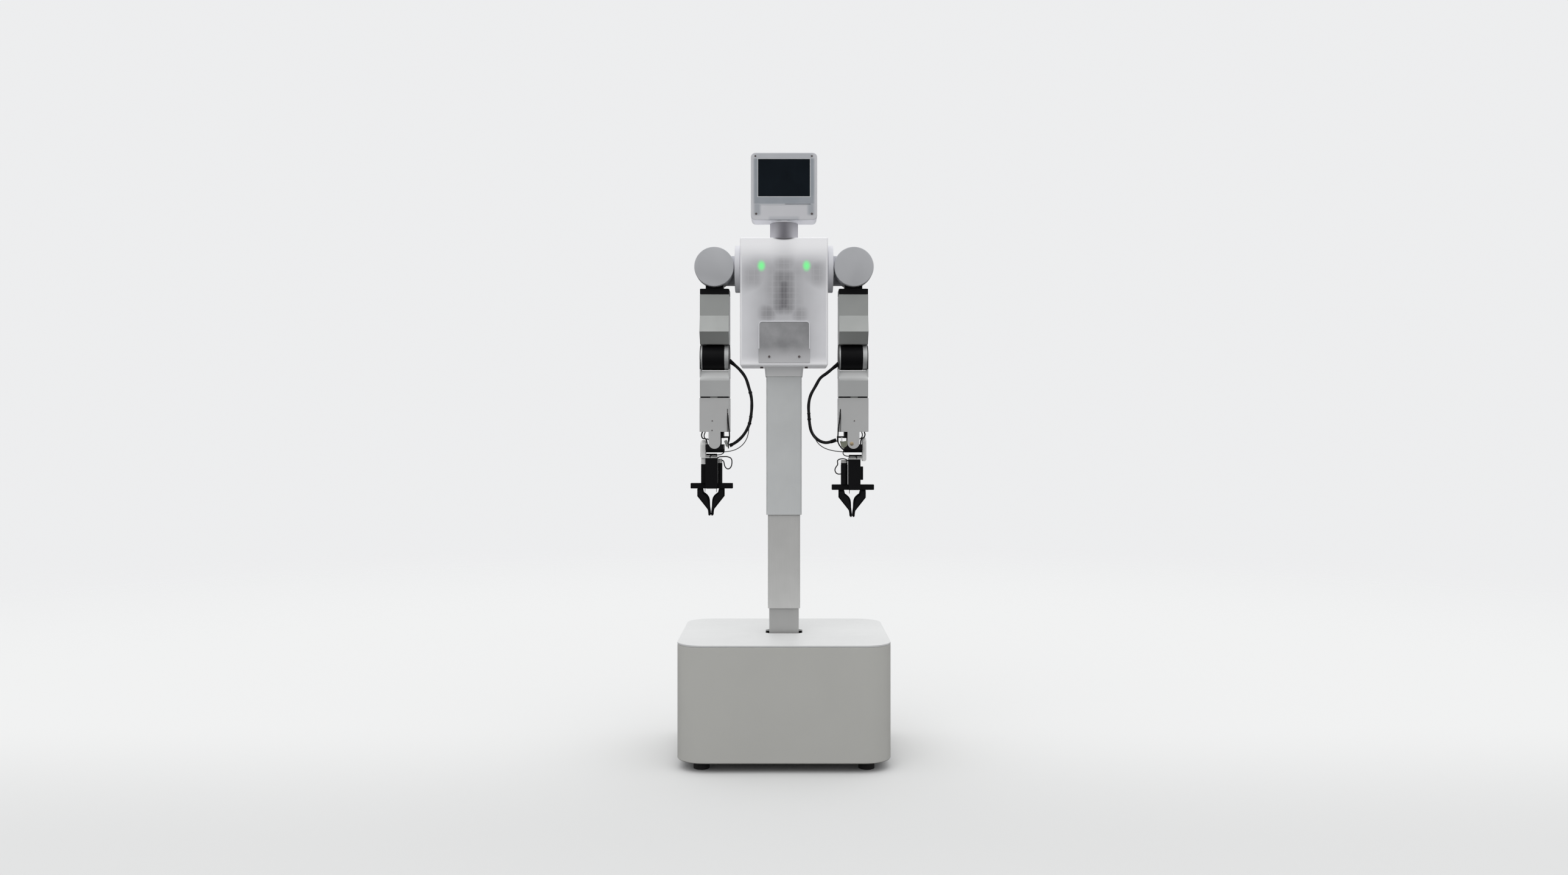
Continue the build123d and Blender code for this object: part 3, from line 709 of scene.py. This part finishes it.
def forearm_metal():
    """Bare metal with a painted highlight that makes the top of the forearm paler, and black outer cheeks
    round the elbow.
    """
    made = Nodes("forearm_metal")
    axes = made.axes()
    outwards = offset_from(made, made.math("ABSOLUTE", axes["X"]), ARM_X)
    fork_foot = 868
    cheek = made.math("GREATER_THAN", outwards, 31.75 * MM)
    cheek = made.math("MULTIPLY", cheek, made.math("GREATER_THAN", axes["Z"], (fork_foot + 1) * MM))
    hub = made.math("GREATER_THAN", axes["Z"], fork_foot * MM)
    drift = made.ramp(made.noise(9, 4), 0.35, 0.65, 0, 1)
    speck = made.noise(1300, 2)
    body = made.mix(drift, (0.52, 0.53, 0.53), (0.56, 0.57, 0.57))
    # Painted highlight: a pale band along the top of the forearm
    painted_top_highlight = made.ramp(axes["Z"], 844 * MM, 851 * MM, 0, 0.6, True)
    body = made.mix(painted_top_highlight, body, (0.84, 0.85, 0.85))
    ring = made.mix(drift, (0.56, 0.57, 0.57), (0.62, 0.63, 0.63))
    tint = made.mix(hub, body, ring)
    tint = made.mix(cheek, tint, (0.010, 0.010, 0.011))
    metal = made.ramp(cheek, 0, 1, 0.25, 0)
    gloss = made.ramp(speck, 0.3, 0.7, 0.38, 0.48)
    shader = made.principled(tint, gloss, made.bump(speck, 0.015 * MM), Specular_IOR_Level=0.3)
    made.link(metal, shader.inputs["Metallic"])
    return made.material


def motor_can():
    """Black can with a bright crimped cap above it."""
    made = Nodes("motor_can_black")
    axes = made.axes()
    cap = made.ramp(axes["Z"], 655.6 * MM, 656.2 * MM, 0, 1)
    crease = made.noise(330, 5)
    silver = made.mix(crease, (0.25, 0.25, 0.25), (0.85, 0.85, 0.84))
    speck = made.noise(1100, 2)
    dark = made.mix(speck, (0.007, 0.007, 0.008), (0.013, 0.013, 0.014))
    tint = made.mix(cap, dark, silver)
    depth = made.math("ADD", made.math("MULTIPLY", crease, made.math("MULTIPLY", cap, 20)), speck)
    shader = made.principled(tint, made.ramp(speck, 0.3, 0.7, 0.3, 0.4), made.bump(depth, 0.03 * MM))
    shader.inputs["Specular IOR Level"].default_value = BLACK_SHEEN
    return made.material


def all_finishes():
    """One material for each slot of the record."""
    frost = (0.88, 0.885, 0.92)
    blue_grey = (0.42, 0.455, 0.50)
    return {
        "base_paint": grained("base_paint", (0.64, 0.64, 0.61), 0.42, vary=0.012, depth=0.02),
        # The lid's paint is paler than the shell's: painted light on the top, which faces the light
        "lid_paint": grained("lid_paint", (0.77, 0.78, 0.78), 0.42, vary=0.012, depth=0.02),
        "chassis_steel": grained("chassis_steel", (0.08, 0.08, 0.08), 0.55),
        "foot_rubber": grained("foot_rubber", (0.018, 0.018, 0.018), 0.8, grain=1500, depth=0.08),
        "pack_plastic": grained("pack_plastic", (0.05, 0.05, 0.06), 0.5),
        "drive_casting": grained("drive_casting", (0.3, 0.3, 0.31), 0.5, 0.7),
        "column_inner_metal": brushed("column_inner_metal", (0.43, 0.43, 0.425), 0.42, 0.25),
        "column_middle_metal": brushed("column_middle_metal", (0.63, 0.63, 0.62), 0.42, 0.25),
        "column_outer_metal": brushed("column_outer_metal", (0.73, 0.75, 0.755), 0.42, 0.25),
        "screw_steel": brushed("screw_steel", (0.5, 0.5, 0.5), 0.35, 0.9),
        "fastener_steel": grained("fastener_steel", (0.16, 0.14, 0.14), 0.4, 0.6),
        "glide_plastic": grained("glide_plastic", (0.03, 0.03, 0.03), 0.5),
        "spindle_metal": brushed("spindle_metal", (0.50, 0.40, 0.26), 0.4, 0.6),
        # The collar's pale tone is partly its own and partly painted light against the shade under the
        # torso, and its faint glow is painted light
        "collar_plastic": grained("collar_plastic", (0.80, 0.805, 0.81), 0.5, vary=0.03,
                                  Emission_Color=(0.9, 0.9, 0.9, 1), Emission_Strength=0.06),
        "frame_metal": grained("frame_metal", (0.16, 0.16, 0.17), 0.5, 0.6),
        # The torso and head skins glow faintly: painted light
        "torso_skin": frosted("torso_skin", frost, TORSO_BEHIND_AND_SHADE, lattice=0.26, glow=0.04),
        "hatch_plastic": frosted(
            "hatch_plastic", (0.72, 0.72, 0.74), HATCH_BEHIND, (0.33, 0.332, 0.345), mottle=0.28),
        "led_lens": lamp_lens(),
        "circuit_board": circuit_board("circuit_board", (0.22, 0.235, 0.18)),
        "motor_black": black("motor_black", 0.009, 0.38),
        "neck_plastic": frosted("neck_plastic", (0.50, 0.495, 0.53), NECK_BEHIND, (0.19, 0.185, 0.21)),
        "head_skin": frosted("head_skin", frost, HEAD_BEHIND, glow=0.06),
        "bezel_plastic": frosted(
            "bezel_plastic", (0.80, 0.805, 0.84), BEZEL_BEHIND_AND_SHADE, blue_grey, band=SCREEN_BAND),
        "screen_glass": screen_glass(),
        "flange_metal": grained("flange_metal", (0.84, 0.845, 0.89), 0.5),
        "roll_motor_metal": grained("roll_motor_metal", (0.30, 0.31, 0.30), 0.45, 0.5),
        "drum_metal": grained("drum_metal", (0.60, 0.61, 0.635), 0.45, 0.25, 0.02, 1300, 0.015),
        "hanger_black": black("hanger_black", 0.011, 0.4),
        "arm_paint": grained("arm_paint", (0.44, 0.455, 0.445), 0.42, 0.25, 0.03, 1300, 0.015),
        "forearm_metal": forearm_metal(),
        "wrist_paint": grained("wrist_paint", (0.62, 0.625, 0.625), 0.42, 0.25, 0.03, 1300, 0.015),
        "servo_black": black("servo_black", 0.012, 0.4, 700, 0.05),
        "bracket_silver": brushed("bracket_silver", (0.90, 0.905, 0.90), 0.42, 0.1),
        "gripper_black": black("gripper_black", 0.009, 0.36),
        "motor_can_black": motor_can(),
        "finger_black": black("finger_black", 0.007, 0.3, 900, 0.04, sheen=0.0),
        "harness_sleeve": sleeve("harness_sleeve", (0.009, 0.009, 0.010), 0.5, 1.6),
        "wire_grey": sleeve("wire_grey", (0.05, 0.05, 0.052), 0.5, 3),
    }


# Mesh building


def named_object(name, mesh, body, slot):
    """Puts a mesh in the scene, on a body, with its slot's finish."""
    piece = bpy.data.objects.new(name, mesh)
    bpy.context.scene.collection.objects.link(piece)
    mesh.materials.clear()
    mesh.materials.append(FINISH[slot])
    if body:
        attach(piece, body)
    return piece


def softened(node, width):
    """Stands in for a CAD node: the same faces with its sharp edges rounded over."""
    source = frame["nodes"][node]
    shape = bmesh.new()
    shape.from_mesh(source.data)
    bmesh.ops.remove_doubles(shape, verts=shape.verts, dist=0.002 * MM)
    flat = math.radians(0.4)
    bmesh.ops.dissolve_limit(shape, angle_limit=flat, verts=shape.verts, edges=shape.edges)
    mesh = bpy.data.meshes.new(node + "_finished")
    shape.to_mesh(mesh)
    shape.free()
    smooth(mesh)
    slot = SLOT_OF[node]
    piece = named_object(node + "_finished", mesh, BODY_OF[node], slot)
    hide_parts(node)
    round_edges(piece, width)


def round_edges(piece, width):
    """Rounds a piece's sharp edges, by so many millimetres, and keeps its large faces flat."""
    bevel = piece.modifiers.new("edges", "BEVEL")
    bevel.width = width * MM
    bevel.segments = 2
    bevel.limit_method = "ANGLE"
    bevel.angle_limit = math.radians(16)
    bevel.use_clamp_overlap = True
    bevel.harden_normals = True
    apply_modifiers(piece)


def apply_modifiers(piece):
    """Makes the modified shape the piece's own mesh."""
    graph = bpy.context.evaluated_depsgraph_get()
    made = bpy.data.meshes.new_from_object(piece.evaluated_get(graph))
    piece.modifiers.clear()
    piece.data = made


def smooth(mesh, angle=14):
    """Smooth shading, apart from the sharp edges that are left."""
    mesh.shade_smooth()
    mesh.set_sharp_from_angle(angle=math.radians(angle))


def find_owners():
    """The body that each CAD node belongs to."""
    bodies = {}
    for body, members in frame["record"]["behaviour"]["bodies"].items():
        for node in members:
            bodies[node] = body
    return bodies


def find_slots():
    """The material slot of each CAD node."""
    slots = {}
    for node, item in frame["nodes"].items():
        names = [slot.material.name for slot in item.material_slots if slot.material]
        slots[node] = names[0] if names else None
    return slots


# Cables


def route_points(name, route, side):
    """Points along the smooth line through the air that a cable follows."""
    line = bpy.data.curves.new(name + "_line", "CURVE")
    line.dimensions = "3D"
    spline = line.splines.new("NURBS")
    spline.points.add(len(route) - 1)
    for point, (x, y, z) in zip(spline.points, route):
        point.co = (side * x * MM, y * MM, z * MM, 1)
    spline.order_u = 3
    spline.use_endpoint_u = True
    spline.resolution_u = 12
    holder = bpy.data.objects.new(name + "_line", line)
    bpy.context.scene.collection.objects.link(holder)
    graph = bpy.context.evaluated_depsgraph_get()
    made = bpy.data.meshes.new_from_object(holder.evaluated_get(graph))
    points = [vertex.co.copy() for vertex in made.vertices]
    bpy.data.objects.remove(holder)
    return points


def tube_mesh(name, points, radius, sides=14):
    """A closed round tube along a line, its radius a number or a function of the point."""
    shape = bmesh.new()
    rings = []
    across = None
    for index, point in enumerate(points):
        ahead = points[min(index + 1, len(points) - 1)] - points[max(index - 1, 0)]
        ahead.normalize()
        if across is None:
            across = ahead.orthogonal().normalized()
        across = (across - ahead * across.dot(ahead)).normalized()
        other = ahead.cross(across)
        size = radius(point) if callable(radius) else radius
        ring = []
        for step in range(sides):
            turn = 2 * math.pi * step / sides
            offset = across * math.cos(turn) + other * math.sin(turn)
            ring.append(shape.verts.new(point + offset * size))
        rings.append(ring)
    for ring, after in zip(rings, rings[1:]):
        for step in range(sides):
            following = (step + 1) % sides
            shape.faces.new((ring[step], ring[following], after[following], after[step]))
    shape.faces.new(list(reversed(rings[0])))
    shape.faces.new(rings[-1])
    bmesh.ops.recalc_face_normals(shape, faces=shape.faces)
    mesh = bpy.data.meshes.new(name)
    shape.to_mesh(mesh)
    shape.free()
    smooth(mesh, 50)
    return mesh


def make_harness(side_name, side):
    """Cable harness from the elbow to the servo connector; its upper end turns with the forearm."""
    name = side_name + "_harness_sleeve"
    points = route_points(name, HARNESS_ROUTES[side_name], side)
    ties = HARNESS_TIES[side_name]

    def sleeve_radius(point):
        tied = any(abs(point.z - tie * MM) < 1.3 * MM for tie in ties)
        return HARNESS_DIAMETER / 2 + (0.9 * MM if tied else 0.12 * MM * math.sin(point.z / (4 * MM)))

    mesh = tube_mesh(name, points, sleeve_radius, 18)
    piece = named_object(name, mesh, None, "harness_sleeve")
    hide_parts(side_name + "_harness")
    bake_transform(piece)
    gland = tube_mesh(side_name + "_harness_gland", points[:9], gland_radius(points[0]), 20)
    named_object(side_name + "_harness_gland", gland, side_name + "_forearm", "servo_black")
    plug = tube_mesh(side_name + "_harness_plug", points[-6:], HARNESS_DIAMETER / 2 + 0.9 * MM, 6)
    named_object(side_name + "_harness_plug", plug, side_name + "_wrist", "servo_black")


def gland_radius(start):
    """Strain relief that tapers from a collar at the arm to the sleeve, with soft ribs."""

    def radius(point):
        gone = (point - start).length / MM
        ribs = 0.25 * math.sin(gone * 2.6)
        return (HARNESS_DIAMETER / 2) + max(0.25, 1.9 - gone * 0.13 + ribs) * MM

    return radius


def make_signal_wire(side_name, side):
    """Thin wire that leaves the harness and ends in the wrist knuckle."""
    name = side_name + "_signal_lead"
    points = route_points(name, WIRE_ROUTES[side_name], side)
    mesh = tube_mesh(name, points, WIRE_DIAMETER / 2, 10)
    piece = named_object(name, mesh, None, "wire_grey")
    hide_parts(side_name + "_signal_wire")
    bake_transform(piece)


def make_lead(name, route, side, diameter, bodies, bend=None):
    """A short lead on one body, or on no body where it passes between two at a bend."""
    points = route_points(name, route, side)
    piece = named_object(name, tube_mesh(name, points, diameter / 2, 12), None, "harness_sleeve")
    if bend:
        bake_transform(piece)
    else:
        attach(piece, bodies[0])


def make_leads(name, side):
    """The lead out of the housing's slot, two on the hand, and two under the housing's outer side."""
    wrist = name + "_wrist"
    knuckle = name + "_knuckle"
    hand = name + "_hand"
    outer = OUTER_LEAD_ROUTES[name]
    inner = [(x - 5.5, y + 7, z - 1) for x, y, z in outer]
    slot_bend = LEFT_SLOT_BEND if name == "left" else None
    make_lead(name + "_slot_lead", SLOT_LEAD_ROUTES[name], side, 3 * MM, (wrist, knuckle), slot_bend)
    make_lead(name + "_loop_lead", LOOP_LEAD_ROUTES[name], side, 2.6 * MM, (hand,))
    make_lead(name + "_hand_lead", HAND_LEAD_ROUTES[name], side, 2.2 * MM, (knuckle, hand), HAND_BEND)
    make_lead(name + "_outer_lead", outer, side, 3 * MM, (wrist, knuckle), OUTER_BEND)
    make_lead(name + "_inner_lead", inner, side, 2.4 * MM, (wrist, knuckle), OUTER_BEND)


# Small solid details


def prism_piece(name, outline, low, high, axis, edge, body, slot):
    """A closed prism with rounded edges: an outline in the two other coordinates, from low to high."""
    orders = {"x": (2, 0, 1), "y": (0, 2, 1), "z": (0, 1, 2)}
    shape = bmesh.new()
    rings = []
    for level in (low, high):
        ring = []
        for first, second in outline:
            values = (first * MM, second * MM, level * MM)
            ring.append(shape.verts.new([values[index] for index in orders[axis]]))
        rings.append(ring)
    count = len(outline)
    for step in range(count):
        after = (step + 1) % count
        shape.faces.new((rings[0][step], rings[0][after], rings[1][after], rings[1][step]))
    shape.faces.new(rings[0])
    shape.faces.new(rings[1])
    bmesh.ops.recalc_face_normals(shape, faces=shape.faces)
    mesh = bpy.data.meshes.new(name)
    shape.to_mesh(mesh)
    shape.free()
    smooth(mesh)
    round_edges(named_object(name, mesh, body, slot), edge)


def arc(centre_a, centre_b, radius, start, end):
    """Points along an arc, ends included, between two angles."""
    steps = 5
    turns = [math.radians(start + (end - start) * step / steps) for step in range(steps + 1)]
    return [(centre_a + radius * math.cos(turn), centre_b + radius * math.sin(turn)) for turn in turns]


def rounded_box(low_a, high_a, low_b, high_b, radius):
    """The outline of a rectangle with round corners."""
    left, right = low_a + radius, high_a - radius
    low, high = low_b + radius, high_b - radius
    points = []
    for a, b, start in ((right, high, 0), (left, high, 90), (left, low, 180), (right, low, 270)):
        points += arc(a, b, radius, start, start + 90)
    return points


def turned_piece(name, profile, x, y, z, body, slot):
    """A turned part that points forwards: its profile is pairs of radius and distance forwards."""
    steps = 32
    shape = bmesh.new()
    rings = []
    for radius, forward in profile:
        ring = []
        for step in range(steps if radius else 1):
            turn = 2 * math.pi * step / steps
            place = (x + radius * math.cos(turn), y - forward, z + radius * math.sin(turn))
            ring.append(shape.verts.new([value * MM for value in place]))
        rings.append(ring)
    for ring, after in zip(rings, rings[1:]):
        for step in range(steps):
            following = (step + 1) % steps
            corners = [ring[step % len(ring)], ring[following % len(ring)]]
            corners += [after[following % len(after)], after[step % len(after)]]
            shape.faces.new(list(dict.fromkeys(corners)))
    bmesh.ops.recalc_face_normals(shape, faces=shape.faces)
    mesh = bpy.data.meshes.new(name)
    shape.to_mesh(mesh)
    shape.free()
    smooth(mesh, 28)
    named_object(name, mesh, body, slot)


def screw(name, x, y, z, radius, body, slot="fastener_steel"):
    """A low screw head with a round drive hole, on a face that looks forwards."""
    hole = [(0, 0.1), (0.42, 0.1), (0.48, 0.7)]
    rim = [(0.8, 0.75), (0.97, 0.45), (1, 0), (1, -0.4), (0, -0.4)]
    profile = [(share * radius, forward) for share, forward in hole + rim]
    turned_piece(name, profile, x, y, z, body, slot)


def head_details():
    """The four screws at the corners of the bezel."""
    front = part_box("head_bezel")[0][1] / MM
    upper = ((-64.6, 1348.8, 2.2), (62.8, 1348.8, 2.2))
    lower = ((-62.8, 1218.6, 2.7), (62.8, 1218.6, 2.7))
    for index, (x, z, radius) in enumerate(upper + lower):
        screw(f"bezel_screw_{index + 1}", x, front, z, radius, "head")


def hatch_rim():
    """Pale bead along the top and the upper sides of the service hatch."""
    low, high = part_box("chest_hatch")
    left, right, top = low[0] / MM, high[0] / MM, high[2] / MM
    front = low[1] / MM
    bottom = top - 62
    wide = 2.0
    corner = 8
    corner_z = top - corner
    outline = [(left, bottom)]
    outline += arc(left + corner, corner_z, corner, 180, 90)
    outline += arc(right - corner, corner_z, corner, 90, 0)
    outline += [(right, bottom), (right - wide, bottom)]
    outline += arc(right - corner, corner_z, corner - wide, 0, 90)
    outline += arc(left + corner, corner_z, corner - wide, 90, 180)
    outline.append((left + wide, bottom))
    prism_piece("hatch_rim", outline, front - 0.8, front + 0.2, "y", 0.35, "torso", "head_skin")


def placed(side, outline):
    """An outline given outwards from an arm's own centre plane, placed on its side of the robot."""
    return [(side * (ARM_X + outwards), other) for outwards, other in outline]


def wrist_details(name, side):
    """Roll bearing, its key, the housing's screws, and what shows beside the tongue."""
    body = name + "_wrist"
    bearing = placed(side, rounded_box(-32.5, 32.5, -28.5, 28.5, 4))
    prism_piece(name + "_roll_bearing", bearing, 803.6, 806.3, "z", 0.3, body, "servo_black")
    key = placed(side, rounded_box(-7, 10, -30.2, -24, 1.5))
    prism_piece(name + "_roll_key", key, 803.55, 806.35, "z", 0.3, body, "roll_motor_metal")
    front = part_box(name + "_wrist_housing")[0][1] / MM
    spots = ((5, 751.5), (5.4, 730)) if name == "right" else ((1.8, 751.5),)
    for index, (outwards, z) in enumerate(spots):
        screw(f"{name}_wrist_screw_{index + 1}", side * (ARM_X + outwards), front, z, 1.5, body)
    if name == "left":
        pin = [(0, 0.9), (3.4, 0.9), (4.2, 0.5), (4.4, 0), (4.4, -0.4), (0, -0.4)]
        turned_piece("left_tilt_pin", pin, ARM_X - 4, front, 700, body, "spindle_metal")
        board = [(-31, 706), (-24, 705), (-13.8, 707), (-13.8, 697), (-17, 693), (-24, 690), (-28, 694)]
        board = placed(side, board)
        prism_piece("left_tilt_board", board, front - 1.6, front - 0.4, "y", 0.2, body, "circuit_board")
        plug = placed(side, rounded_box(-28.4, -25.2, 705, 714, 0.6))
        prism_piece("left_board_plug", plug, front - 4, front - 1.2, "y", 0.3, body, "bracket_silver")
    else:
        clamp = [(-31, 692), (-29.6, 699), (-30, 706), (-27, 709), (-21.5, 706), (-24, 700), (-26, 694)]
        clamp = placed(side, clamp)
        prism_piece("right_lead_clamp", clamp, front - 3.2, front - 1, "y", 0.6, body, "roll_motor_metal")


def hand_details(name, side):
    """Yoke and strip on the bracket's foot, prongs and lip under the gearbox, ridges on the fingers."""
    body = name + "_hand"
    drop = HAND_DROP[name]
    centre = GEARBOX_SHIFT[name]
    foot = FOOT_TOP - drop
    top = YOKE_TOP[name]
    yoke = [(-11.5, foot), (-7.5, foot + 2), (-3, top), (3, top), (7.5, foot + 2), (11.5, foot)]
    ends = sorted((side * (ARM_X + centre - 12), side * (ARM_X + 20)))
    prism_piece(name + "_hand_yoke", yoke, *ends, "x", 0.4, body, "servo_black")
    strip = placed(side, rounded_box(centre - 11, 20.6, foot + 0.3, foot + 3.2, 1.2))
    prism_piece(name + "_hand_strip", strip, -9.2, -7.9, "y", 0.3, body, "bracket_silver")
    bottom = GEARBOX_BOTTOM - drop
    for index, (outwards, deep) in enumerate(((14.8, 9), (-11.5, 9.5))):
        middle = centre + outwards
        root = [(middle - 0.8, bottom), (middle + 0.8, bottom)]
        tip = [(middle + 0.5, bottom - deep), (middle - 0.5, bottom - deep)]
        prong = placed(side, root + tip)
        prism_piece(f"{name}_prong_{index + 1}", prong, -14.5, -12.5, "y", 0.25, body, "gripper_black")
    lip = placed(side, rounded_box(centre - 12.6, centre + 12.6, bottom - 1.4, bottom + 7, 2.2))
    prism_piece(name + "_gearbox_lip", lip, -18.9, -17.5, "y", 0.8, body, "gripper_black")
    finger_ridges(name, side)


def finger_ridges(name, side):
    """The raised middle of each finger's front."""
    outer_edge = [(18.6, 595), (28.6, 595), (28.6, 581.8), (8.2, 556), (6.2, 549)]
    inner_edge = [(3.4, 549), (4.6, 562), (9, 580), (18, 587)]
    for finger, mirrored in (("outer", 1), ("inner", -1)):
        blade = [
            (FINGER_SHIFT[name] + mirrored * x, z - HAND_DROP[name])
            for x, z in outer_edge + inner_edge
        ]
        piece = f"{name}_finger_{finger}"
        ridge = piece + "_ridge"
        prism_piece(ridge, placed(side, blade), -8.6, -6.8, "y", 1.7, piece, "servo_black")


def finish_nodes():
    """Rounds the edges of the CAD nodes that show, and paints the others as they are."""
    widths = dict(EDGE_WIDTHS)
    for side_name in SIDES:
        for node, width in ARM_EDGE_WIDTHS.items():
            widths[side_name + "_" + node] = width
    for node, item in frame["nodes"].items():
        if node in widths:
            softened(node, widths[node])
        else:
            item.data.materials.clear()
            item.data.materials.append(FINISH[SLOT_OF[node]])


# The object

make_camera()
FINISH = all_finishes()
BODY_OF = find_owners()
SLOT_OF = find_slots()
for side_name, side in SIDES.items():
    make_harness(side_name, side)
    make_signal_wire(side_name, side)
    make_leads(side_name, side)
make_floor()
make_light()
head_details()
hatch_rim()
for side_name, side in SIDES.items():
    wrist_details(side_name, side)
    hand_details(side_name, side)
finish_nodes()
